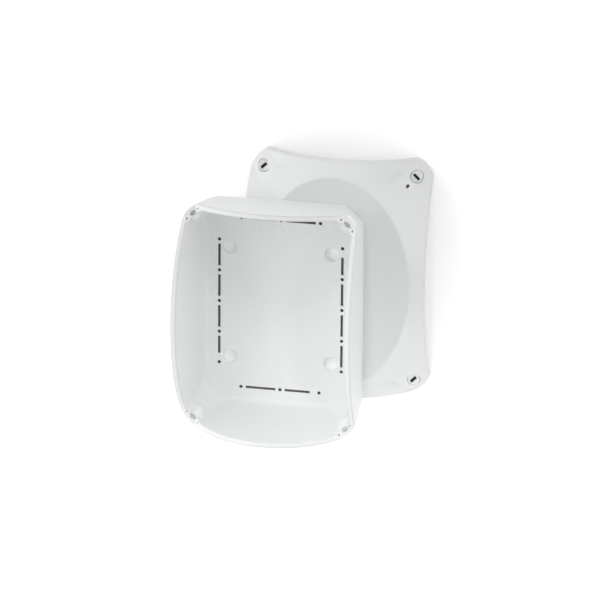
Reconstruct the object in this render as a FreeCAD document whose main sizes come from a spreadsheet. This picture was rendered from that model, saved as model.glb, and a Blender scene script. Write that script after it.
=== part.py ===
import FreeCAD, Part
import math
import os
import Sketcher
from FreeCAD import Placement, Rotation, Vector

# Weatherproof cable junction box, open, with its lid taken off.
# The lid lies face up on the floor, on the tips of its four fasteners, and the
# box lies on its back on the flat oval of the lid, some way to one side.
# Each piece is drawn where it sits in the closed box, with z = 0 at the back and
# the lid on top, and its placement then lays it down. The walls flare from the
# back to the rim. The rim arches over each wall and is low at the corners, and
# the lid's edge, its groove and the seal follow the same arches.

doc = FreeCAD.newDocument("junction_box")

sizes = {
    # plan of the rim, and how far the waist and the back lie inside it
    "rim_width": 155.6,
    "rim_length": 209.0,
    "corner_across": 13.3,
    "corner_along": 15.0,
    "side_bulge": 1.2,
    "end_bulge": 2.2,
    "corner_bulge": 1.8,
    "waist_height": 46.0,
    "waist_inset_x": 1.15,
    "waist_inset_y": 2.0,
    "back_inset_x": 6.3,
    "back_inset_y": 11.0,
    "back_across": 16.0,
    "back_along": 14.0,
    "back_bulge": 0.3,
    # heights of the rim: middle of the long sides, middle of the ends, corners
    "side_rim": 85.0,
    "end_rim": 76.0,
    "corner_rim": 48.5,
    "trim": 3.0,
    # hollow of the box, with rounded corner posts
    "rim_wall": 4.8,
    "waist_wall": 4.2,
    "floor_top": 6.0,
    "floor_plate": 3.0,
    "foot_inset_x": 4.5,
    "foot_inset_y": 3.5,
    "post_foot": 21.5,
    "foot_bulge": 4.0,
    "post_neck": 15.6,
    "neck_bulge": 2.0,
    # sockets of the fasteners in the tops of the posts
    "socket_inset_x": 10.9,
    "socket_inset_y": 12.5,
    "boss_radius": 6.0,
    "post_plate": 2.2,
    "chamber_depth": 2.6,
    "chamber_margin": 0.3,
    "pin_hole_radius": 0.8,
    "pin_hole_depth": 4.0,
    "pin_hole_reach": 6.8,
    # wall fixing pockets in the floor
    "fixing_inset_x": 33.3,
    "fixing_inset_y": 55.0,
    "fixing_radius": 6.4,
    "fixing_depth": 4.2,
    "fixing_pad": 9.0,
    # screw channels in the floor, with a dot at each screw position
    "channel_inset_x": 23.8,
    "channel_inset_y": 27.5,
    "column_end": 21.0,
    "row_end": 19.4,
    "channel_width": 2.2,
    "channel_depth": 4.6,
    "dot_radius": 1.5,
    "channel_gap": 4.2,
    "channel_long_gap": 8.2,
    "rib_width": 6.4,
    "back_band": 6.0,
    # lid
    "lid_rise": 1.0,
    "oval_inset_x": 10.0,
    "oval_inset_y": 9.5,
    "oval_turn_low": 47.0,
    "oval_turn_high": 57.0,
    "lid_edge": 4.5,
    "lid_clearance": 0.5,
    "lid_lip": 2.2,
    "lip_drop": 1.8,
    "lid_skin": 2.6,
    "lid_land": 1.0,
    "land_width": 4.6,
    "groove_depth": 2.0,
    "lid_plate": 4.0,
    "well_radius": 5.7,
    "tower_wall": 1.7,
    "wire_hole_radius": 1.4,
    "wire_hole_rise": 15.0,
    "wire_hole_wall": 1.2,
    "wire_hole_inset": 5.8,
    # seal
    "seal_inset": 1.5,
    "seal_width": 1.4,
    "seal_proud": 0.5,
    "seal_clearance": 0.1,
    # quarter-turn fasteners
    "head_radius": 5.3,
    "head_height": 7.0,
    "slot_length": 6.6,
    "slot_width": 2.6,
    "slot_depth": 4.5,
    "shank_radius": 2.0,
    "shank_fit": 0.1,
    "shank_clearance": 0.35,
    "lug_reach": 3.1,
    "lug_width": 1.8,
    "lug_height": 1.8,
    "lug_clearance": 0.25,
    # how the two halves lie
    "lid_shift_x": 43.3,
    "lid_shift_y": 21.4,
}

sheet = doc.addObject("Spreadsheet::Sheet", "sizes")
for row, (name, number) in enumerate(sizes.items(), start=1):
    sheet.set("A%d" % row, name)
    sheet.set("B%d" % row, str(number))
    sheet.setAlias("B%d" % row, name)
doc.recompute()

HALF_X = "rim_width / 2"
HALF_Y = "rim_length / 2"
RIM_TOP = "max( side_rim ; end_rim )"
LID_TOP = "( " + RIM_TOP + " + lid_edge + lid_rise )"
# Where the arches end: the inner lines of the corner squares.
ARCH_X = HALF_X + " - corner_across"
ARCH_Y = HALF_Y + " - corner_along"
RIM_BULGES = ("side_bulge", "end_bulge", "corner_bulge")
NECK_BULGES = ("side_bulge", "end_bulge", "neck_bulge")
FOOT_BULGES = ("back_bulge", "back_bulge", "foot_bulge")
BACK_BULGES = ("back_bulge", "back_bulge", "back_bulge")
BACK_X = HALF_X + " - back_inset_x"
BACK_Y = HALF_Y + " - back_inset_y"
SOCKET_X = "( " + HALF_X + " - socket_inset_x )"
SOCKET_Y = "( " + HALF_Y + " - socket_inset_y )"
FIXING_X = "( " + HALF_X + " - fixing_inset_x )"
FIXING_Y = "( " + HALF_Y + " - fixing_inset_y )"
CHANNEL_X = "( " + HALF_X + " - channel_inset_x )"
CHANNEL_Y = "( " + HALF_Y + " - channel_inset_y )"
# Two steps from the middle to the end of a column of dots, one of a row.
PITCH_ALONG = "( ( " + CHANNEL_Y + " - column_end ) / 2 )"
PITCH_ACROSS = "( " + CHANNEL_X + " - row_end )"
CORNERS = ((1, 1), (-1, 1), (-1, -1), (1, -1))
DIAGONAL = "sqrt(0.5)"
# What a cut corner takes off each side grows by this share of an offset.
SPREAD = 2 - math.sqrt(2)


def cell(text):
    """Expression on the sheet, with the names of the sizes written in full."""
    return " ".join("sizes." + word if word in sizes else word for word in text.split())


def amount(text):
    """Value that an expression on the sheet has now."""
    return float(sheet.evalExpression(cell(text)))


def origin_plane(body, role):
    return next(part for part in body.Origin.OriginFeatures if part.Role == role)


def add_sketch(body, name, role="XY_Plane", height=None):
    sketch = body.newObject("Sketcher::SketchObject", name)
    sketch.AttachmentSupport = (origin_plane(body, role), [""])
    sketch.MapMode = "FlatFace"
    if height:
        sketch.setExpression("AttachmentOffset.Base.z", cell(height))
    return sketch


def constrain(sketch, kind, args, text):
    index = sketch.addConstraint(Sketcher.Constraint(kind, *args, amount(text)))
    sketch.setExpression("Constraints[%d]" % index, cell(text))


def add_ring(sketch, points, bulges=None):
    """Closed ring of lines, or of arcs where the edge after a point bulges out."""
    bulges = bulges or [None] * len(points)
    first = sketch.GeometryCount
    spots = [Vector(amount(x), amount(y), 0) for x, y in points]
    count = len(points)
    for i in range(count):
        start, end = spots[i], spots[(i + 1) % count]
        if bulges[i]:
            run = end - start
            out = Vector(run.y, -run.x, 0).normalize()
            middle = (start + end) * 0.5 + out * amount(bulges[i])
            sketch.addGeometry(Part.Arc(start, middle, end), False)
        else:
            sketch.addGeometry(Part.LineSegment(start, end), False)
    for i in range(count):
        after = (i + 1) % count
        sketch.addConstraint(Sketcher.Constraint("Coincident", first + i, 2, first + after, 1))
        x, y = points[i]
        constrain(sketch, "DistanceX", (-1, 1, first + i, 1), x)
        constrain(sketch, "DistanceY", (-1, 1, first + i, 1), y)
        if bulges[i]:
            end_x, end_y = points[after]
            run_x = "( ( %s ) - ( %s ) )" % (end_x, x)
            run_y = "( ( %s ) - ( %s ) )" % (end_y, y)
            chord = "( %s * %s + %s * %s )" % (run_x, run_x, run_y, run_y)
            radius = "%s / ( 8 * ( %s ) ) + ( %s ) / 2" % (chord, bulges[i], bulges[i])
            constrain(sketch, "Radius", (first + i,), radius)


def add_circle(sketch, x, y, radius):
    centre = Vector(amount(x), amount(y), 0)
    index = sketch.addGeometry(Part.Circle(centre, Vector(0, 0, 1), amount(radius)), False)
    constrain(sketch, "DistanceX", (-1, 1, index, 3), x)
    constrain(sketch, "DistanceY", (-1, 1, index, 3), y)
    constrain(sketch, "Radius", (index,), radius)


def add_box(sketch, x, y, half_x, half_y):
    add_ring(sketch, [("( %s ) + %d * ( %s )" % (x, i, half_x),
                       "( %s ) + %d * ( %s )" % (y, j, half_y)) for i, j in CORNERS])


def add_plan(sketch, half_x, half_y, across, along, bulges):
    """Outline of the box: two long sides, two ends and four cut corners."""
    side, end, corner = bulges
    near = ("( %s - %s )" % (half_x, side), "( %s - %s )" % (half_y, along))
    far = ("( %s - %s )" % (half_x, across), "( %s - %s )" % (half_y, end))
    points = [("%d * %s" % (i, x), "%d * %s" % (j, y)) for (x, y), i, j in (
        (near, 1, -1), (near, 1, 1), (far, 1, 1), (far, -1, 1),
        (near, -1, 1), (near, -1, -1), (far, -1, -1), (far, 1, -1))]
    add_ring(sketch, points, [side, corner, end, corner, side, corner, end, corner])


def add_loft(body, name, sections):
    loft = body.newObject("PartDesign::AdditiveLoft", name)
    loft.Profile = sections[0]
    loft.Sections = sections[1:]
    return loft


def add_pocket(body, sketch, depth=None, upward=False, both=False):
    pocket = body.newObject("PartDesign::Pocket", sketch.Name + "_cut")
    pocket.Profile = sketch
    pocket.Reversed = upward
    if both:
        pocket.SideType = "Symmetric"
    if depth:
        pocket.setExpression("Length", cell(depth))
    else:
        pocket.Type = "ThroughAll"
    return pocket


def add_pad(body, sketch, length, downward=False):
    pad = body.newObject("PartDesign::Pad", sketch.Name + "_pad")
    pad.Profile = sketch
    pad.Reversed = downward
    pad.setExpression("Length", cell(length))
    return pad


# Core of the mould: the hollow of the box, less the round bosses of the posts.
core = doc.addObject("PartDesign::Body", "box_core")
core_sections = []
for name, height, half_x, half_y, across, along, bulges in (
    ("core_foot", "floor_top", BACK_X + " - foot_inset_x", BACK_Y + " - foot_inset_y",
     "post_foot", "post_foot", FOOT_BULGES),
    ("core_neck", "corner_rim", HALF_X + " - waist_inset_x - waist_wall",
     HALF_Y + " - waist_inset_y - waist_wall", "post_neck", "post_neck", NECK_BULGES),
    ("core_mouth", RIM_TOP + " + trim", HALF_X + " - rim_wall", HALF_Y + " - rim_wall",
     "post_neck", "post_neck", NECK_BULGES),
):
    section = add_sketch(core, name, height=height)
    add_plan(section, half_x, half_y, across, along, bulges)
    core_sections.append(section)
add_loft(core, "core_loft", core_sections)
doc.recompute()
post_circles = add_sketch(core, "post_circles", height="corner_rim")
for i, j in CORNERS:
    add_circle(post_circles, "%d * %s" % (i, SOCKET_X), "%d * %s" % (j, SOCKET_Y), "boss_radius")
add_pocket(core, post_circles)
doc.recompute()

# Box: a flared shell with the core taken out and the arches cut into its walls.
box = doc.addObject("PartDesign::Body", "box_base")
box_sections = []
for name, height, half_x, half_y, across, along, bulges in (
    ("back", None, BACK_X, BACK_Y, "back_across", "back_along", BACK_BULGES),
    ("waist", "waist_height", HALF_X + " - waist_inset_x", HALF_Y + " - waist_inset_y",
     "corner_across", "corner_along", RIM_BULGES),
    ("brim", RIM_TOP + " + trim", HALF_X, HALF_Y, "corner_across", "corner_along", RIM_BULGES),
):
    section = add_sketch(box, name, height=height)
    add_plan(section, half_x, half_y, across, along, bulges)
    box_sections.append(section)
add_loft(box, "shell", box_sections)
doc.recompute()
hollow = box.newObject("PartDesign::Boolean", "hollow")
hollow.Type = "Cut"
hollow.setObjects([core])
doc.recompute()

# What stands above each arch is cut away, and then the corner squares.
for name, role, reach, top in (("side_arch", "YZ_Plane", ARCH_Y, "side_rim"),
                               ("end_arch", "XZ_Plane", ARCH_X, "end_rim")):
    arch = add_sketch(box, name, role)
    add_ring(arch,
             [(reach, "corner_rim"), ("-1 * ( %s )" % reach, "corner_rim"),
              ("-1 * ( %s )" % reach, RIM_TOP + " + 2 * trim"),
              (reach, RIM_TOP + " + 2 * trim")],
             ["%s - corner_rim" % top, None, None, None])
    add_pocket(box, arch, both=True)
corner_squares = add_sketch(box, "corner_squares", height="corner_rim")
for i, j in CORNERS:
    add_ring(corner_squares, [("%d * ( %s )" % (i, x), "%d * ( %s )" % (j, y)) for x, y in (
        (ARCH_X, ARCH_Y), ("rim_width", ARCH_Y), ("rim_width", "rim_length"),
        (ARCH_X, "rim_length"))])
add_pocket(box, corner_squares, upward=True)
doc.recompute()

# Underside: a shallow recess with ribs below the channels and pads below the pockets.
back_recess = add_sketch(box, "back_recess")
add_plan(back_recess, BACK_X + " - back_band", BACK_Y + " - back_band",
         "back_across", "back_along", BACK_BULGES)
add_pocket(box, back_recess, "floor_top - floor_plate", upward=True)
for side in (1, -1):
    column_rib = add_sketch(box, "column_rib_%d" % (2 + side))
    add_box(column_rib, "%d * %s" % (side, CHANNEL_X), "0", "rib_width / 2",
            "2 * %s + rib_width / 2" % PITCH_ALONG)
    add_pad(box, column_rib, "floor_top - floor_plate")
    row_rib = add_sketch(box, "row_rib_%d" % (2 + side))
    add_box(row_rib, "0", "%d * %s" % (side, CHANNEL_Y), PITCH_ACROSS + " + rib_width / 2",
            "rib_width / 2")
    add_pad(box, row_rib, "floor_top - floor_plate")
fixing_pads = add_sketch(box, "fixing_pads")
for i, j in CORNERS:
    add_circle(fixing_pads, "%d * %s" % (i, FIXING_X), "%d * %s" % (j, FIXING_Y), "fixing_pad")
add_pad(box, fixing_pads, "floor_top - floor_plate")
doc.recompute()

# Floor: fixing pockets, screw dots and the channels between them.
fixing_pockets = add_sketch(box, "fixing_pockets", height="floor_top")
for i, j in CORNERS:
    add_circle(fixing_pockets, "%d * %s" % (i, FIXING_X), "%d * %s" % (j, FIXING_Y),
               "fixing_radius")
add_pocket(box, fixing_pockets, "fixing_depth")
dots = add_sketch(box, "screw_dots", height="floor_top")
channels = add_sketch(box, "screw_channels", height="floor_top")
for side in (1, -1):
    column_x = "%d * %s" % (side, CHANNEL_X)
    row_y = "%d * %s" % (side, CHANNEL_Y)
    for step in range(-2, 3):
        add_circle(dots, column_x, "%d * %s" % (step, PITCH_ALONG), "dot_radius")
    for step in range(-2, 2):
        low = "channel_long_gap" if side == -1 and step == -2 else "channel_gap"
        high = "channel_long_gap" if side == 1 and step == 1 else "channel_gap"
        add_box(channels, column_x,
                "%.1f * %s + ( %s - %s ) / 2" % (step + 0.5, PITCH_ALONG, low, high),
                "channel_width / 2", "( %s - %s - %s ) / 2" % (PITCH_ALONG, low, high))
    for step in range(-1, 2):
        add_circle(dots, "%d * %s" % (step, PITCH_ACROSS), row_y, "dot_radius")
    for step in range(-1, 1):
        low = "channel_long_gap" if side == 1 and step == -1 else "channel_gap"
        high = "channel_long_gap" if side == -1 and step == 0 else "channel_gap"
        add_box(channels, "%.1f * %s + ( %s - %s ) / 2" % (step + 0.5, PITCH_ACROSS, low, high),
                row_y, "( %s - %s - %s ) / 2" % (PITCH_ACROSS, low, high), "channel_width / 2")
add_pocket(box, dots, "channel_depth")
add_pocket(box, channels, "channel_depth")
doc.recompute()

# Sockets: a hole and two keyways through the plate of each post, and a chamber
# below it where the lugs turn. A pin hole stands at each side of the socket.
socket_holes = add_sketch(box, "socket_holes", height="corner_rim - post_plate")
keyways = add_sketch(box, "keyways", height="corner_rim - post_plate")
pin_holes = add_sketch(box, "pin_holes", height="corner_rim - pin_hole_depth")
chambers = add_sketch(box, "socket_chambers", height="corner_rim - post_plate")
KEY_REACH = "( lug_reach + chamber_margin )"
KEY_HALF = "( lug_width / 2 + lug_clearance )"
for i, j in CORNERS:
    x = "%d * %s" % (i, SOCKET_X)
    y = "%d * %s" % (j, SOCKET_Y)
    along = "%d * %s" % (-i, DIAGONAL)
    across = "%d * %s" % (j, DIAGONAL)
    add_circle(socket_holes, x, y, "shank_radius + shank_clearance")
    add_circle(chambers, x, y, KEY_REACH)
    add_ring(keyways, [
        ("%s + %d * %s * %s + %d * %s * %s" % (x, a, along, KEY_REACH, b, across, KEY_HALF),
         "%s + %d * %s * %s - %d * %s * %s" % (y, a, across, KEY_REACH, b, along, KEY_HALF))
        for a, b in CORNERS])
    for a in (-1, 1):
        add_circle(pin_holes, "%s + %d * %s * pin_hole_reach" % (x, a, along),
                   "%s + %d * %s * pin_hole_reach" % (y, a, across), "pin_hole_radius")
add_pocket(box, socket_holes, upward=True)
add_pocket(box, keyways, upward=True)
add_pocket(box, chambers, "chamber_depth")
add_pocket(box, pin_holes, upward=True)
doc.recompute()


def rim_points(offset):
    """Ends of the long side and of the end, on the rim moved out by an offset."""
    half_x = sheet.rim_width / 2 + offset
    half_y = sheet.rim_length / 2 + offset
    near = (half_x - sheet.side_bulge, half_y - sheet.corner_along - SPREAD * offset)
    far = (half_x - sheet.corner_across - SPREAD * offset, half_y - sheet.end_bulge)
    return near, far, half_x, half_y


def corner_middle(near, far):
    """Top of the arc that rounds the cut corner."""
    run = Vector(far[0] - near[0], far[1] - near[1], 0)
    out = Vector(run.y, -run.x, 0).normalize()
    return Vector(near[0] + far[0], near[1] + far[1], 0) * 0.5 + out * sheet.corner_bulge


def rim_prism(offset, low, high):
    """Upright solid on the outline of the rim, moved out by an offset."""
    near, far, half_x, half_y = rim_points(offset)
    corner = corner_middle(near, far)
    stops = [(near[0], -near[1]), (half_x, 0), near, (corner.x, corner.y), far, (0, half_y),
             (-far[0], far[1]), (-corner.x, corner.y)]
    stops += [(-x, -y) for x, y in stops]
    spots = [Vector(x, y, low) for x, y in stops]
    arcs = [Part.Arc(spots[k], spots[k + 1], spots[(k + 2) % 16]).toShape()
            for k in range(0, 16, 2)]
    return Part.Face(Part.Wire(arcs)).extrude(Vector(0, 0, high - low))


ROOM = 3 * sheet.rim_length
ends_x = amount(ARCH_X)
ends_y = amount(ARCH_Y)


def arch_ridges(rise):
    """Two ridges below the arches of the sides and ends, raised by a rise."""
    low = sheet.corner_rim + rise
    side = Part.Arc(Vector(-ROOM / 2, -ends_y, low), Vector(-ROOM / 2, 0, sheet.side_rim + rise),
                    Vector(-ROOM / 2, ends_y, low)).toShape()
    end = Part.Arc(Vector(-ends_x, -ROOM / 2, low), Vector(0, -ROOM / 2, sheet.end_rim + rise),
                   Vector(ends_x, -ROOM / 2, low)).toShape()
    ridges = []
    for arc, run in ((side, Vector(ROOM, 0, 0)), (end, Vector(0, ROOM, 0))):
        chord = Part.makeLine(arc.Vertexes[1].Point, arc.Vertexes[0].Point)
        ridges.append(Part.Face(Part.Wire([arc, chord])).extrude(run))
    return ridges


def slab(half_x, half_y, top):
    return Part.makeBox(2 * half_x, 2 * half_y, ROOM, Vector(-half_x, -half_y, top - ROOM))


def below_rim(rise):
    """Everything below the surface that the rim follows, raised by a rise."""
    base = slab(ROOM / 2, ROOM / 2, sheet.corner_rim + rise)
    return base.fuse(arch_ridges(rise))


def vault(offset, side, end, corner, half_oval_x, half_oval_y, top):
    """Solid below the lid's roof: a flat oval with slopes ruled down to the rim.

    The slopes join arcs of the oval to the arched edge. The sides are copies of
    that edge drawn straight down, and the bottom is the roof again, lower.
    """
    near, far, half_x, half_y = rim_points(offset)
    middle = corner_middle(near, far)
    stops = [Vector(near[0], -near[1], corner), Vector(half_x, 0, side),
             Vector(near[0], near[1], corner), Vector(middle.x, middle.y, corner),
             Vector(far[0], far[1], corner), Vector(0, half_y, end),
             Vector(-far[0], far[1], corner), Vector(-middle.x, middle.y, corner),
             Vector(-near[0], near[1], corner)]
    lower = [Part.Arc(*stops[k:k + 3]).toShape() for k in range(0, 8, 2)]
    half_turn = Placement(Vector(0, 0, 0), Rotation(Vector(0, 0, 1), 180)).toMatrix()
    lower += [edge.transformed(half_turn) for edge in lower]
    low = sheet.oval_turn_low
    high = sheet.oval_turn_high
    turns = [-low, low, high, 180 - high, 180 - low, 180 + low, 180 + high, 360 - high, 360 - low]
    oval = Part.Ellipse(Vector(0, half_oval_y, top), Vector(-half_oval_x, 0, top),
                        Vector(0, 0, top))
    angles = [math.radians(turn - 90) for turn in turns]
    upper = [Part.Arc(oval, angles[k], angles[k + 1]).toShape() for k in range(8)]
    roof = [Part.makeRuledSurface(lower[k], upper[k]) for k in range(8)]
    roof.append(Part.Face(Part.Wire(upper)))
    drop = Vector(0, 0, -2 * lid_top)
    walls = [edge.extrude(drop) for edge in lower]
    floor = [face.translated(drop) for face in roof]
    shell = Part.Shell([piece.Faces[0] for piece in roof + walls + floor])
    shell.sewShape()
    solid = Part.Solid(shell)
    if solid.Volume < 0:
        solid.reverse()
    return solid


def cylinder(x, y, radius, low, high):
    return Part.makeCylinder(radius, high - low, Vector(x, y, low))


# Lid: the vault less a second one below its skin, with an outer lip round the
# rim, a land above the rim and a groove for the seal. Each fastener stands in a
# well, and two of the corners have a hole for a sealing wire.
lid_top = amount(LID_TOP)
overhang = sheet.lid_clearance + sheet.lid_lip
half_oval_x = sheet.rim_width / 2 - sheet.oval_inset_x
half_oval_y = sheet.rim_length / 2 - sheet.oval_inset_y
outer_edges = [edge + sheet.lid_edge for edge in (sheet.side_rim, sheet.end_rim, sheet.corner_rim)]
near, far, half_x, half_y = rim_points(overhang)
corner = corner_middle(near, far)
oval_turn = math.radians((sheet.oval_turn_low + sheet.oval_turn_high) / 2)
runs = [half_x - half_oval_x, half_y - half_oval_y,
        math.hypot(corner.x - half_oval_x * math.cos(oval_turn),
                   corner.y - half_oval_y * math.sin(oval_turn))]
step_in = overhang + sheet.land_width
inner_edges = []
for edge, run in zip(outer_edges, runs):
    slope = (lid_top - edge) / run
    inner_edges.append(edge + slope * step_in - sheet.lid_skin * math.hypot(1, slope))
outer_vault = vault(overhang, *outer_edges, half_oval_x, half_oval_y, lid_top)
inner_vault = vault(-sheet.land_width, *inner_edges, half_oval_x - sheet.lid_skin,
                    half_oval_y - sheet.lid_skin, lid_top - sheet.lid_skin)
socket_x = amount(SOCKET_X)
socket_y = amount(SOCKET_Y)
plate_low = sheet.corner_rim + sheet.lid_land
head_seat = plate_low + sheet.lid_plate
wire_floor = sheet.corner_rim + sheet.wire_hole_rise
wire_spots = [(k * (socket_x - sheet.wire_hole_inset), k * (socket_y - sheet.wire_hole_inset))
              for k in (1, -1)]
towers = [cylinder(i * socket_x, j * socket_y, sheet.well_radius + sheet.tower_wall, plate_low,
                   lid_top) for i, j in CORNERS]
towers += [cylinder(x, y, sheet.wire_hole_radius + sheet.wire_hole_wall,
                    wire_floor - sheet.wire_hole_wall, lid_top) for x, y in wire_spots]
holes = [cylinder(i * socket_x, j * socket_y, radius, low, lid_top)
         for i, j in CORNERS
         for radius, low in ((sheet.well_radius, head_seat),
                             (sheet.shank_radius + sheet.shank_fit, 0))]
holes += [cylinder(x, y, sheet.wire_hole_radius, wire_floor, lid_top) for x, y in wire_spots]
rim_space = rim_prism(sheet.lid_clearance, -ROOM, ROOM).common(below_rim(sheet.lid_land))
groove = rim_prism(-sheet.seal_inset, -ROOM, ROOM).cut(
    rim_prism(-sheet.seal_inset - sheet.seal_width, -2 * ROOM, 2 * ROOM)).common(
    below_rim(sheet.lid_land + sheet.groove_depth))
lid_shape = outer_vault.cut([inner_vault, below_rim(-sheet.lip_drop)])
lid_shape = lid_shape.fuse([tower.common(outer_vault) for tower in towers])
lid_shape = lid_shape.cut([rim_space] + holes + [groove]).removeSplitter()
lid = doc.addObject("Part::Feature", "lid")
lid.Shape = lid_shape

# Seal: one endless strip in the lid's groove, proud of the land.
seal_outer = -sheet.seal_inset - sheet.seal_clearance
seal_inner = -sheet.seal_inset - sheet.seal_width + sheet.seal_clearance
seal_shape = rim_prism(seal_outer, -ROOM, ROOM).cut(rim_prism(seal_inner, -2 * ROOM, 2 * ROOM))
seal_shape = seal_shape.common(below_rim(sheet.lid_land + sheet.groove_depth))
seal_shape = seal_shape.cut(below_rim(sheet.lid_land - sheet.seal_proud)).removeSplitter()
seal = doc.addObject("Part::Feature", "lid_seal")
seal.Shape = seal_shape

# Fasteners, drawn with the seat of the head at zero and the lugs along x.
LUG_TOP = "( lid_plate + lid_land + post_plate + lug_clearance )"
fasteners = []
for name, (i, j) in zip(("fastener_1", "fastener_2", "fastener_3", "fastener_4"), CORNERS):
    body = doc.addObject("PartDesign::Body", name)
    profile = add_sketch(body, name + "_profile", "XZ_Plane")
    tip = "-1 * ( %s + lug_height )" % LUG_TOP
    add_ring(profile, [
        ("0", tip), ("shank_radius", tip), ("shank_radius", "0"), ("head_radius", "0"),
        ("head_radius", "head_height"), ("0", "head_height")])
    turned = body.newObject("PartDesign::Revolution", name + "_turned")
    turned.Profile = profile
    turned.ReferenceAxis = (profile, ["V_Axis"])
    turned.Angle = 360.0
    doc.recompute()
    lugs = add_sketch(body, name + "_lugs", height="-1 * %s" % LUG_TOP)
    add_box(lugs, "0", "0", "lug_reach", "lug_width / 2")
    add_pad(body, lugs, "lug_height", downward=True)
    slot = add_sketch(body, name + "_slot", height="head_height")
    add_box(slot, "0", "0", "slot_length / 2", "slot_width / 2")
    add_pocket(body, slot, "slot_depth")
    fasteners.append(body)
doc.recompute()

# The two halves as they lie: the middle of the whole is the origin, on the floor.
FLOOR = "( corner_rim - post_plate - lug_clearance - lug_height )"
HEAD_SEAT = "( corner_rim + lid_land + lid_plate )"
OVERHANG = "( lid_clearance + lid_lip )"
BOX_X = "-1 * ( lid_shift_x + %s ) / 2" % OVERHANG
BOX_Y = "-1 * ( lid_shift_y + %s ) / 2" % OVERHANG


def lay_down(piece, x, y, z, angle=0.0):
    piece.Placement = Placement(Vector(0, 0, 0), Rotation(Vector(0, 0, 1), angle))
    piece.setExpression("Placement.Base.x", cell(x))
    piece.setExpression("Placement.Base.y", cell(y))
    piece.setExpression("Placement.Base.z", cell(z))


lay_down(box, BOX_X, BOX_Y, LID_TOP + " - " + FLOOR)
LID_X = "( lid_shift_x - %s ) / 2" % OVERHANG
LID_Y = "( lid_shift_y - %s ) / 2" % OVERHANG
lay_down(lid, LID_X, LID_Y, "-1 * " + FLOOR)
lay_down(seal, LID_X, LID_Y, "-1 * " + FLOOR)
for fastener, (i, j) in zip(fasteners, CORNERS):
    lay_down(fastener, "%s + %d * %s" % (LID_X, i, SOCKET_X),
             "%s + %d * %s" % (LID_Y, j, SOCKET_Y), HEAD_SEAT + " - " + FLOOR, -45.0 * i * j)
doc.recompute()

subparts = [box, lid, seal] + fasteners
for item in doc.Objects:
    if "Invalid" in item.State or "Error" in item.State:
        raise RuntimeError("%s failed: %s" % (item.Name, item.State))
for piece in subparts:
    if piece.Shape.isNull() or not piece.Shape.isValid() or len(piece.Shape.Solids) != 1:
        raise RuntimeError("%s is not one valid solid" % piece.Label)

os.makedirs("parts", exist_ok=True)
for piece in subparts:
    piece.Shape.exportStep("parts/%s.step" % piece.Label)
    print(piece.Label, round(piece.Shape.Volume), piece.Shape.BoundBox)
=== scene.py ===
import math

import bpy
from mathutils import Matrix, Vector

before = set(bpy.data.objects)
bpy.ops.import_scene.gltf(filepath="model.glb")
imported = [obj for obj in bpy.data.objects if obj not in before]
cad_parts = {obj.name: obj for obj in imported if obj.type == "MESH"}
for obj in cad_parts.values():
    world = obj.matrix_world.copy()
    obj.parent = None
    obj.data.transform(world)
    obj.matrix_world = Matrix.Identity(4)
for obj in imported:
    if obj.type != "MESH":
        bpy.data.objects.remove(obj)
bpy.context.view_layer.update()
print("frame loaded")

# where box and lid lie, in metres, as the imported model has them
layout = {
    "boxMiddle": (-0.0230, -0.01205, 0.0),
    "boxBack": 0.04625,
    "boxFloor": 0.05225,
    "postTop": 0.09475,
    "lidMiddle": (0.0203, 0.00935, 0.0),
    "cornerReach": (0.0669, 0.0920, 0.0),  # from a middle to its four sockets or wells
}


# joins a socket to the output that feeds it, or sets it where the value is plain
def feed(tree, socket, value):
    if isinstance(value, bpy.types.NodeSocket):
        tree.links.new(value, socket)
    else:
        socket.default_value = value


def linkSockets(tree, pairs):
    for start, end in pairs:
        tree.links.new(start, end)


def calc(tree, operation, first, second=0.0, third=0.0):
    node = tree.nodes.new("ShaderNodeMath")
    node.operation = operation
    for socket, value in zip(node.inputs, (first, second, third)):
        feed(tree, socket, value)
    return node.outputs["Value"]


def vectorCalc(tree, operation, first, second=(0.0, 0.0, 0.0)):
    node = tree.nodes.new("ShaderNodeVectorMath")
    node.operation = operation
    feed(tree, node.inputs[0], first)
    feed(tree, node.inputs[1], second)
    return node


def product(tree, first, *others):
    for other in others:
        first = calc(tree, "MULTIPLY", first, other)
    return first


def opposite(tree, mask):
    return calc(tree, "SUBTRACT", 1.0, mask)


def between(tree, value, low, high):
    return calc(tree, "COMPARE", value, (low + high) / 2, (high - low) / 2)


def easeBetween(tree, value, low, high):
    node = tree.nodes.new("ShaderNodeMapRange")
    node.interpolation_type = "SMOOTHSTEP"
    feed(tree, node.inputs["Value"], value)
    feed(tree, node.inputs["From Min"], low)
    feed(tree, node.inputs["From Max"], high)
    return node.outputs["Result"]


# the shade where the mask is 1, and no change where it is 0
def shadeWhere(tree, mask, shade):
    return calc(tree, "MULTIPLY_ADD", mask, shade - 1.0, 1.0)


# height of the surface's own normal: 1 faces up, 0 stands upright, -1 faces down
def upwardness(tree):
    geometry = tree.nodes.new("ShaderNodeNewGeometry")
    parts = tree.nodes.new("ShaderNodeSeparateXYZ")
    tree.links.new(geometry.outputs["True Normal"], parts.inputs["Vector"])
    return parts.outputs["Z"]


def newGroup(name, inputs, outputs):
    group = bpy.data.node_groups.new(name, "ShaderNodeTree")
    for label, kind, value in inputs:
        socket = group.interface.new_socket(name=label, in_out="INPUT", socket_type=kind)
        socket.default_value = value
    for label, kind in outputs:
        group.interface.new_socket(name=label, in_out="OUTPUT", socket_type=kind)
    return (group, group.nodes.new("NodeGroupInput").outputs,
            group.nodes.new("NodeGroupOutput").inputs)


def addGroup(tree, group, values):
    node = tree.nodes.new("ShaderNodeGroup")
    node.node_tree = group
    for name, value in values.items():
        feed(tree, node.inputs[name], value)
    return node.outputs


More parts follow.
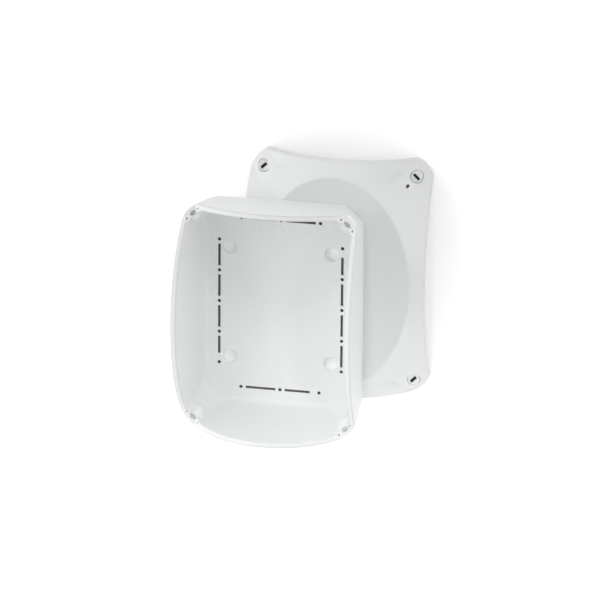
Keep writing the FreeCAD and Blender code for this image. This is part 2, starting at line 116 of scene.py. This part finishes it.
# what the surfaces of all pieces share
mouldedSkin = {
    "grainScale": 900.0,  # fine grain of the mould, per metre
    "grainDetail": 4.0,
    "grainStrength": 0.35,
    "flowScale": 14.0,  # slow change of tone over the walls
    "flowDetail": 3.0,
    "roughnessChange": 0.12,
    "reflectionIndex": 1.5,
    "edgeSamples": 12,
}


def makeMouldedSkin():
    group, inputs, outputs = newGroup("mouldedSkin", (
        ("Tone", "NodeSocketColor", (0.8, 0.8, 0.8, 1.0)),
        ("Tone Change", "NodeSocketFloat", 0.03),
        ("Roughness", "NodeSocketFloat", 0.45),
        ("Shade", "NodeSocketFloat", 1.0),
    ), (("Color", "NodeSocketColor"), ("Roughness", "NodeSocketFloat"),
        ("Height", "NodeSocketFloat")))
    place = group.nodes.new("ShaderNodeTexCoord")
    noises = {}
    for name in ("flow", "grain"):
        noises[name] = group.nodes.new("ShaderNodeTexNoise")
        noises[name].inputs["Scale"].default_value = mouldedSkin[name + "Scale"]
        noises[name].inputs["Detail"].default_value = mouldedSkin[name + "Detail"]
        group.links.new(place.outputs["Object"], noises[name].inputs["Vector"])
    centred = calc(group, "SUBTRACT", noises["flow"].outputs["Fac"], 0.5)
    share = calc(group, "MULTIPLY_ADD", centred, inputs["Tone Change"], 1.0)
    tint = vectorCalc(group, "SCALE", inputs["Tone"])
    rough = calc(group, "MULTIPLY_ADD", centred, mouldedSkin["roughnessChange"],
                 inputs["Roughness"])
    linkSockets(group, (
        (product(group, share, inputs["Shade"]), tint.inputs["Scale"]),
        (tint.outputs["Vector"], outputs["Color"]),
        (rough, outputs["Roughness"]),
        (noises["grain"].outputs["Fac"], outputs["Height"]),
    ))
    return group


# place over the plan, folded about a middle, and how far the nearest corner is
def makeQuarterPlan():
    group, inputs, outputs = newGroup("quarterPlan", (
        ("Middle", "NodeSocketVector", (0.0, 0.0, 0.0)),
    ), (("X", "NodeSocketFloat"), ("Y", "NodeSocketFloat"), ("Z", "NodeSocketFloat"),
        ("Corner Distance", "NodeSocketFloat")))
    place = group.nodes.new("ShaderNodeTexCoord").outputs["Object"]
    centred = vectorCalc(group, "SUBTRACT", place, inputs["Middle"]).outputs["Vector"]
    folded = vectorCalc(group, "ABSOLUTE", centred).outputs["Vector"]
    toCorner = vectorCalc(group, "SUBTRACT", folded, layout["cornerReach"]).outputs["Vector"]
    flat = vectorCalc(group, "MULTIPLY", toCorner, (1.0, 1.0, 0.0)).outputs["Vector"]
    parts = group.nodes.new("ShaderNodeSeparateXYZ")
    linkSockets(group, (
        (folded, parts.inputs["Vector"]),
        (parts.outputs["X"], outputs["X"]),
        (parts.outputs["Y"], outputs["Y"]),
        (parts.outputs["Z"], outputs["Z"]),
        (vectorCalc(group, "LENGTH", flat).outputs["Value"], outputs["Corner Distance"]),
    ))
    return group


# round mark that a pin or a tool left in the plastic: 1 inside, easing to 0 at its rim
def makeRoundMark():
    group, inputs, outputs = newGroup("roundMark", (
        ("Along", "NodeSocketFloat", 0.0), ("Across", "NodeSocketFloat", 0.0),
        ("Mark Along", "NodeSocketFloat", 0.0), ("Mark Across", "NodeSocketFloat", 0.0),
        ("Radius", "NodeSocketFloat", 0.001), ("Softness", "NodeSocketFloat", 0.0004),
    ), (("Mask", "NodeSocketFloat"),))
    offAlong = calc(group, "SUBTRACT", inputs["Along"], inputs["Mark Along"])
    offAcross = calc(group, "SUBTRACT", inputs["Across"], inputs["Mark Across"])
    reach = calc(group, "SQRT", calc(group, "ADD", product(group, offAlong, offAlong),
                                     product(group, offAcross, offAcross)))
    rim = calc(group, "ADD", inputs["Radius"], inputs["Softness"])
    mask = opposite(group, easeBetween(group, reach, inputs["Radius"], rim))
    group.links.new(mask, outputs["Mask"])
    return group


mouldedSkinGroup = makeMouldedSkin()
quarterPlanGroup = makeQuarterPlan()
roundMarkGroup = makeRoundMark()
print("shared effects made")


def newMaterial(name):
    material = bpy.data.materials.new(name)
    material.use_nodes = True
    material.node_tree.nodes.clear()
    return material.node_tree, material


def addPlan(tree, middle):
    return addGroup(tree, quarterPlanGroup, {"Middle": middle})


def addMark(tree, along, across, place, radius, softness):
    return addGroup(tree, roundMarkGroup, {
        "Along": along, "Across": across, "Mark Along": place[0], "Mark Across": place[1],
        "Radius": radius, "Softness": softness})["Mask"]


def addBump(tree, height, strength, depth, normal):
    bump = tree.nodes.new("ShaderNodeBump")
    bump.inputs["Strength"].default_value = strength
    bump.inputs["Distance"].default_value = depth
    linkSockets(tree, ((height, bump.inputs["Height"]), (normal, bump.inputs["Normal"])))
    return bump.outputs["Normal"]


# shade scales the colour: below 1 it is painted shade, above 1 painted light
def addSkin(tree, look, shade=1.0, radius=None, relief=None):
    skin = addGroup(tree, mouldedSkinGroup, {
        "Tone": (*look["tone"], 1.0), "Tone Change": look["toneChange"],
        "Roughness": look["roughness"], "Shade": shade})
    edge = tree.nodes.new("ShaderNodeBevel")
    edge.samples = mouldedSkin["edgeSamples"]
    feed(tree, edge.inputs["Radius"], look["edgeRadius"] if radius is None else radius)
    normal = edge.outputs["Normal"]
    if relief is not None:
        normal = addBump(tree, relief, 1.0, look["markDepth"], normal)
    normal = addBump(tree, skin["Height"], mouldedSkin["grainStrength"], look["grainDepth"],
                     normal)
    surface = tree.nodes.new("ShaderNodeBsdfPrincipled")
    surface.inputs["IOR"].default_value = mouldedSkin["reflectionIndex"]
    output = tree.nodes.new("ShaderNodeOutputMaterial")
    linkSockets(tree, (
        (skin["Color"], surface.inputs["Base Color"]),
        (skin["Roughness"], surface.inputs["Roughness"]),
        (normal, surface.inputs["Normal"]),
        (surface.outputs["BSDF"], output.inputs["Surface"]),
    ))


# the box: soft rims, rounder where walls meet the floor, crisp at pockets and sockets;
# places are metres from its middle, across and along, and fades are where they start and end
boxLook = {
    "tone": (0.79, 0.80, 0.80), "toneChange": 0.03, "roughness": 0.42, "grainDepth": 0.00004,
    "rimRadius": 0.0032,
    "footRadius": 0.0060,
    "crispRadius": 0.0003,
    "bodyMargin": 0.008,  # above the floor and below the posts, where the two radii hold
    "wallFrom": (0.0575, 0.0800),  # floor area that stays crisp
    "wallFade": 0.006,
    "floorFade": (0.0005, 0.003),
    "socketFade": (0.0070, 0.0100),
    "postFade": (0.006, 0.002),  # below the top of the posts
    "slotsAt": (0.0540, 0.0770),
    "slotHalf": 0.0017,
    "slotMargin": 0.0004,  # below the floor and above the back
    "slotFacing": -0.5,  # anything that faces down more than this is the back
    # painted shade: slots and channels in the floor are coloured darker, where shade falls in
    # them
    "slotPaintedShade": 0.42,
    "rimPaintedShade": 0.91,  # painted shade: the up-facing tops of the rim and posts are coloured a little darker, against the light that falls on them
    "rimFacing": (0.6, 0.9),
    "rimMargin": 0.0005,
    "footPaintedHighlight": 1.06,  # painted highlight: a lighter band where the walls meet the floor, against the shade in that bend
    "footInside": (0.0625, 0.0860),
    "footOutside": (0.0700, 0.0935),
    "footFade": 0.003,
    "footHeight": 0.0045,
    "hollowPaintedLight": 1.16,  # painted light: sockets and fixing pockets are coloured lighter inside, against the shade in them
    "socketReach": 0.0068,
    "socketDepth": (0.0125, 0.0005),  # below the top of the posts
    "pocketDepth": (0.0045, 0.0005),  # below the floor
    "pocketInside": 0.0520,
    "markDepth": 0.00020,
    "pinMarks": ((0.0, 0.0683), (0.0200, 0.0683)),  # in the floor, inside its end slots
    "pinRadius": 0.0030,
    "pinSoftness": 0.0008,
    "pinMargin": 0.0004,  # over and under the floor
    "sideMarks": ((0.0180, 0.0762), (0.0540, 0.0762)),  # to drill at: along the wall, height
    "endMarks": ((0.0150, 0.0762), (0.0450, 0.0762)),
    "drillRadius": 0.0011,
    "drillSoftness": 0.0006,
    "outsideFrom": (0.0730, 0.0980),
}


def boxEdgeRadius(tree, look, plan):
    x, y, z = plan["X"], plan["Y"], plan["Z"]
    floor, postTop = layout["boxFloor"], layout["postTop"]
    lowDown = opposite(tree, easeBetween(tree, z, floor + look["bodyMargin"],
                                         postTop - look["bodyMargin"]))
    body = calc(tree, "MULTIPLY_ADD", lowDown, look["footRadius"] - look["rimRadius"],
                look["rimRadius"])
    wallX, wallY = look["wallFrom"]
    beside = calc(tree, "MAXIMUM", easeBetween(tree, x, wallX, wallX + look["wallFade"]),
                  easeBetween(tree, y, wallY, wallY + look["wallFade"]))
    aboveFloor = easeBetween(tree, z, floor + look["floorFade"][0], floor + look["floorFade"][1])
    onWall = calc(tree, "MAXIMUM", beside, aboveFloor)
    awayFromSocket = easeBetween(tree, plan["Corner Distance"], *look["socketFade"])
    belowPost = opposite(tree, easeBetween(tree, z, postTop - look["postFade"][0],
                                           postTop - look["postFade"][1]))
    clearOfSocket = calc(tree, "MAXIMUM", awayFromSocket, belowPost)
    soft = product(tree, body, product(tree, onWall, clearOfSocket))
    return calc(tree, "MAXIMUM", soft, look["crispRadius"])


# painted shade and painted light on the box's colour: darker slots and rim tops, lighter wall
# foot, sockets and pockets
def boxPaintedShading(tree, look, plan):
    x, y, z = plan["X"], plan["Y"], plan["Z"]
    floor, postTop = layout["boxFloor"], layout["postTop"]
    slotX, slotY = look["slotsAt"]
    facing = upwardness(tree)
    onColumnOrRow = calc(tree, "MAXIMUM", calc(tree, "COMPARE", x, slotX, look["slotHalf"]),
                         calc(tree, "COMPARE", y, slotY, look["slotHalf"]))
    onLine = product(tree, onColumnOrRow,
                     calc(tree, "LESS_THAN", x, slotX + look["slotHalf"]),
                     calc(tree, "LESS_THAN", y, slotY + look["slotHalf"]))
    inSlot = product(tree, onLine, calc(tree, "GREATER_THAN", facing, look["slotFacing"]),
                     between(tree, z, layout["boxBack"] + look["slotMargin"],
                             floor - look["slotMargin"]))
    onTop = product(tree, easeBetween(tree, facing, *look["rimFacing"]),
                    calc(tree, "GREATER_THAN", z, postTop - look["rimMargin"]))
    footX, footY = look["footInside"]
    nearWall = calc(tree, "MAXIMUM", easeBetween(tree, x, footX, footX + look["footFade"]),
                    easeBetween(tree, y, footY, footY + look["footFade"]))
    low = opposite(tree, easeBetween(tree, z, floor, floor + look["footHeight"]))
    atFoot = product(tree, nearWall, low,
                     calc(tree, "LESS_THAN", x, look["footOutside"][0]),
                     calc(tree, "LESS_THAN", y, look["footOutside"][1]))
    inSocket = product(tree,
                       calc(tree, "LESS_THAN", plan["Corner Distance"], look["socketReach"]),
                       between(tree, z, *(postTop - depth for depth in look["socketDepth"])))
    inPocket = product(tree, opposite(tree, onLine),
                       calc(tree, "LESS_THAN", x, look["pocketInside"]),
                       between(tree, z, *(floor - depth for depth in look["pocketDepth"])))
    return product(tree, shadeWhere(tree, inSlot, look["slotPaintedShade"]),
                   shadeWhere(tree, onTop, look["rimPaintedShade"]),
                   shadeWhere(tree, atFoot, look["footPaintedHighlight"]),
                   shadeWhere(tree, calc(tree, "MAXIMUM", inSocket, inPocket),
                              look["hollowPaintedLight"]))


# pin marks stand a little proud of the floor, and marks to drill at are dents outside
def boxRelief(tree, look, plan):
    x, y, z = plan["X"], plan["Y"], plan["Z"]
    raised = 0.0
    for place in look["pinMarks"]:
        mark = addMark(tree, x, y, place, look["pinRadius"], look["pinSoftness"])
        raised = calc(tree, "ADD", mark, raised)
    relief = product(tree, raised,
                     calc(tree, "COMPARE", z, layout["boxFloor"], look["pinMargin"]))
    for along, across, limit, places in ((y, x, look["outsideFrom"][0], look["sideMarks"]),
                                         (x, y, look["outsideFrom"][1], look["endMarks"])):
        outside = calc(tree, "GREATER_THAN", across, limit)
        for place in places:
            dent = addMark(tree, along, z, place, look["drillRadius"], look["drillSoftness"])
            relief = calc(tree, "SUBTRACT", relief, product(tree, dent, outside))
    return relief


def makeBoxPlastic():
    tree, material = newMaterial("boxPlastic")
    plan = addPlan(tree, layout["boxMiddle"])
    addSkin(tree, boxLook, boxPaintedShading(tree, boxLook, plan), boxEdgeRadius(tree, boxLook, plan),
            boxRelief(tree, boxLook, plan))
    return material


# the lid: slopes run smoothly from the flat oval down to the four corners
lidLook = {
    "tone": (0.71, 0.72, 0.72), "toneChange": 0.03, "roughness": 0.45, "grainDepth": 0.00004,
    "slopeRadius": 0.0120,
    "edgeSlopeRadius": 0.0025,
    "crispRadius": 0.0006,
    "edgeFrom": (0.0680, 0.0945),  # half across and half along, where the edge begins
    "edgeFade": 0.008,
    "wellFade": (0.0080, 0.0150),
    "ovalHalf": (0.0678, 0.0950),
    "ovalFade": (0.985, 1.035),  # shares of the oval
    "slopeFade": (1.02, 1.16),
    "ovalPaintedShade": 0.97,  # painted shade: the flat oval is coloured a little darker than the slopes
    # painted light: the slopes are coloured a little lighter than the flat oval
    "slopePaintedLight": 1.03,
    "uprightBelow": 0.3,
    "wireHole": (0.0611, 0.0862),
    "wireHoleRadius": 0.0016,
    "wireHoleSoftness": 0.0001,
    "holeFrom": 0.0242,  # the hole only, not the tower below it
    # painted shade: the wall of the wire hole is coloured nearly black
    "holePaintedShade": 0.12,
    # painted light: the walls of the wells round the fasteners are coloured lighter, against the
    # shade in the gap
    "wellWall": (0.0055, 0.0059),
    "wellPaintedLight": 1.30,
}


# how far out a place lies, as a share of the flat oval
def ovalReach(tree, look, plan):
    across, along = (calc(tree, "POWER", calc(tree, "DIVIDE", plan[axis], half), 2.0)
                     for axis, half in zip(("X", "Y"), look["ovalHalf"]))
    return calc(tree, "SQRT", calc(tree, "ADD", across, along))


def lidEdgeRadius(tree, look, plan, reach):
    edgeX, edgeY = look["edgeFrom"]
    nearEdge = calc(tree, "MAXIMUM",
                    easeBetween(tree, plan["X"], edgeX, edgeX + look["edgeFade"]),
                    easeBetween(tree, plan["Y"], edgeY, edgeY + look["edgeFade"]))
    widest = calc(tree, "MULTIPLY_ADD", nearEdge, look["edgeSlopeRadius"] - look["slopeRadius"],
                  look["slopeRadius"])
    share = product(tree, easeBetween(tree, reach, *look["slopeFade"]),
                    easeBetween(tree, plan["Corner Distance"], *look["wellFade"]))
    return calc(tree, "MAXIMUM", product(tree, share, widest), look["crispRadius"])


# painted shade and painted light on the lid's colour: darker oval and wire hole, lighter slopes
# and well walls
def lidPaintedShading(tree, look, plan, reach):
    onSlope = easeBetween(tree, reach, *look["ovalFade"])
    paintedOvalAndSlope = calc(tree, "MULTIPLY_ADD", onSlope, look["slopePaintedLight"] - look["ovalPaintedShade"],
                     look["ovalPaintedShade"])
    upright = calc(tree, "LESS_THAN", calc(tree, "ABSOLUTE", upwardness(tree)),
                   look["uprightBelow"])
    hole = addMark(tree, plan["X"], plan["Y"], look["wireHole"], look["wireHoleRadius"],
                   look["wireHoleSoftness"])
    inHole = product(tree, hole, upright,
                     calc(tree, "GREATER_THAN", plan["Z"], look["holeFrom"]))
    onWell = product(tree, between(tree, plan["Corner Distance"], *look["wellWall"]), upright)
    return product(tree, paintedOvalAndSlope, shadeWhere(tree, inHole, look["holePaintedShade"]),
                   shadeWhere(tree, onWell, look["wellPaintedLight"]))


def makeLidPlastic():
    tree, material = newMaterial("lidPlastic")
    plan = addPlan(tree, layout["lidMiddle"])
    reach = ovalReach(tree, lidLook, plan)
    addSkin(tree, lidLook, lidPaintedShading(tree, lidLook, plan, reach),
            lidEdgeRadius(tree, lidLook, plan, reach))
    return material


sealLook = {
    "tone": (0.66, 0.67, 0.66), "toneChange": 0.05, "roughness": 0.65, "grainDepth": 0.00005,
    "edgeRadius": 0.0003,
}


def makeSealRubber():
    tree, material = newMaterial("sealRubber")
    addSkin(tree, sealLook)
    return material


# quarter-turn fasteners; painted shade makes their screwdriver slot nearly black, and painted
# light makes the side of the head lighter
fastenerLook = {
    "tone": (0.74, 0.75, 0.75), "toneChange": 0.03, "roughness": 0.40, "grainDepth": 0.00004,
    "edgeRadius": 0.0004,
    "slotReach": 0.0037,
    "slotFrom": 0.0112,
    "slotTo": 0.0158,
    # painted shade in the screwdriver slot
    "slotPaintedShade": 0.10,
    "sideFrom": 0.0051,
    # painted light on the side of the head, against the shade of its well
    "sidePaintedLight": 1.22,
}


def makeFastenerPlastic():
    tree, material = newMaterial("fastenerPlastic")
    look = fastenerLook
    plan = addPlan(tree, layout["lidMiddle"])
    belowTop = calc(tree, "LESS_THAN", plan["Z"], look["slotTo"])
    inSlot = product(tree, belowTop,
                     calc(tree, "GREATER_THAN", plan["Z"], look["slotFrom"]),
                     calc(tree, "LESS_THAN", plan["Corner Distance"], look["slotReach"]))
    onSide = product(tree, belowTop,
                     calc(tree, "GREATER_THAN", plan["Corner Distance"], look["sideFrom"]))
    addSkin(tree, look, product(tree, shadeWhere(tree, inSlot, look["slotPaintedShade"]),
                                shadeWhere(tree, onSide, look["sidePaintedLight"])))
    return material


finishes = {
    "box_base": makeBoxPlastic(),
    "lid": makeLidPlastic(),
    "lid_seal": makeSealRubber(),
    "fastener": makeFastenerPlastic(),
}
for name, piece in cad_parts.items():
    finish = finishes["fastener" if name.startswith("fastener") else name]
    if not piece.material_slots:
        piece.data.materials.append(finish)
    for slot in piece.material_slots:
        slot.material = finish
print("finishes set")

# white table, lifted to full white so that only the shadow shows on it
floorLook = {"half": 6.0, "tone": 0.80, "roughness": 0.9, "lift": 0.36}


def addFloor():
    bpy.ops.mesh.primitive_plane_add(size=2 * floorLook["half"])
    floor = bpy.context.object
    floor.name = "studioFloor"
    tree, material = newMaterial("paleFloor")
    path = tree.nodes.new("ShaderNodeLightPath")
    seen = calc(tree, "MAXIMUM", path.outputs["Is Camera Ray"], path.outputs["Is Glossy Ray"])
    surface = tree.nodes.new("ShaderNodeBsdfPrincipled")
    surface.inputs["Base Color"].default_value = (floorLook["tone"],) * 3 + (1.0,)
    surface.inputs["Roughness"].default_value = floorLook["roughness"]
    surface.inputs["Specular IOR Level"].default_value = 0.0
    surface.inputs["Emission Color"].default_value = (1.0, 1.0, 1.0, 1.0)
    output = tree.nodes.new("ShaderNodeOutputMaterial")
    linkSockets(tree, (
        (product(tree, seen, floorLook["lift"]), surface.inputs["Emission Strength"]),
        (surface.outputs["BSDF"], output.inputs["Surface"]),
    ))
    floor.data.materials.append(material)


addFloor()

# white walls all round and no light from straight above, brightest on the left
studioGlow = {"left": 1.92, "right": 1.20, "near": 0.76, "far": 0.43}


def addStudioGlow():
    world = bpy.data.worlds.new("studioGlow")
    bpy.context.scene.world = world
    world.use_nodes = True
    tree = world.node_tree
    place = tree.nodes.new("ShaderNodeTexCoord")
    toward = tree.nodes.new("ShaderNodeSeparateXYZ")
    tree.links.new(place.outputs["Generated"], toward.inputs["Vector"])
    glow = 0.0
    for axis, sign, share in (("X", -1.0, "left"), ("X", 1.0, "right"),
                              ("Y", -1.0, "near"), ("Y", 1.0, "far")):
        facing = product(tree, toward.outputs[axis], sign * studioGlow[share])
        glow = calc(tree, "ADD", calc(tree, "MAXIMUM", facing, 0.0), glow)
    background = tree.nodes["Background"]
    background.inputs["Color"].default_value = (1.0, 1.0, 1.0, 1.0)
    tree.links.new(glow, background.inputs["Strength"])


addStudioGlow()

# soft spots that are aimed past the near end, so their light fades towards the far end
lamps = {
    "farLamp": {"place": (0.1, 1.7, 1.2), "power": 36.0},
    "rightLamp": {"place": (1.3, 0.2, 1.6), "power": 39.0},
    "leftLamp": {"place": (-1.3, 0.2, 1.8), "power": 17.0},
    "highLamp": {"place": (0.1, 0.6, 2.3), "power": 61.0},
}
lampShape = {"radius": 0.20, "cone": 14.0, "fade": 1.0, "aim": (0.05, -0.22, 0.03)}

for name, lamp in lamps.items():
    light = bpy.data.lights.new(name, "SPOT")
    light.shadow_soft_size = lampShape["radius"]
    light.spot_size = math.radians(lampShape["cone"])
    light.spot_blend = lampShape["fade"]
    light.energy = lamp["power"]
    lightObject = bpy.data.objects.new(name, light)
    bpy.context.collection.objects.link(lightObject)
    lightObject.location = lamp["place"]
    aim = Vector(lampShape["aim"]) - Vector(lamp["place"])
    lightObject.rotation_euler = aim.to_track_quat("-Z", "Y").to_euler()
print("lights set")

view = {
    "turn": 12.586,  # degrees round the upright picture axis, from straight above
    "tilt": 19.281,  # degrees towards the far ends of box and lid
    "roll": 0.456,
    "distance": 4.30035,  # from the middle of the box's back
    "aside": (-0.01547, -0.002893),  # how far that middle lies from the picture's
    "lens": 300.0,
    "sensor": 36.0,
    "farthest": 20.0,
}


def addCamera():
    turn, tilt, roll = (math.radians(view[key]) for key in ("turn", "tilt", "roll"))
    back = Vector((math.sin(turn) * math.cos(tilt), math.sin(tilt),
                   math.cos(turn) * math.cos(tilt)))
    right = Vector((math.cos(turn), 0.0, -math.sin(turn)))
    up = back.cross(right)
    rolledRight = math.cos(roll) * right + math.sin(roll) * up
    rolledUp = math.cos(roll) * up - math.sin(roll) * right
    boxBack = Vector(layout["boxMiddle"]) + Vector((0.0, 0.0, layout["boxBack"]))
    place = (boxBack + view["distance"] * back
             - view["aside"][0] * rolledRight - view["aside"][1] * rolledUp)
    axes = Matrix((rolledRight, rolledUp, back)).transposed()
    data = bpy.data.cameras.new("pictureCamera")
    data.lens = view["lens"]
    data.sensor_width = view["sensor"]
    data.clip_end = view["farthest"]
    camera = bpy.data.objects.new("pictureCamera", data)
    bpy.context.collection.objects.link(camera)
    camera.matrix_world = Matrix.Translation(place) @ axes.to_4x4()
    bpy.context.scene.camera = camera


addCamera()
bpy.context.scene.view_settings.view_transform = "Standard"
print("studio set")
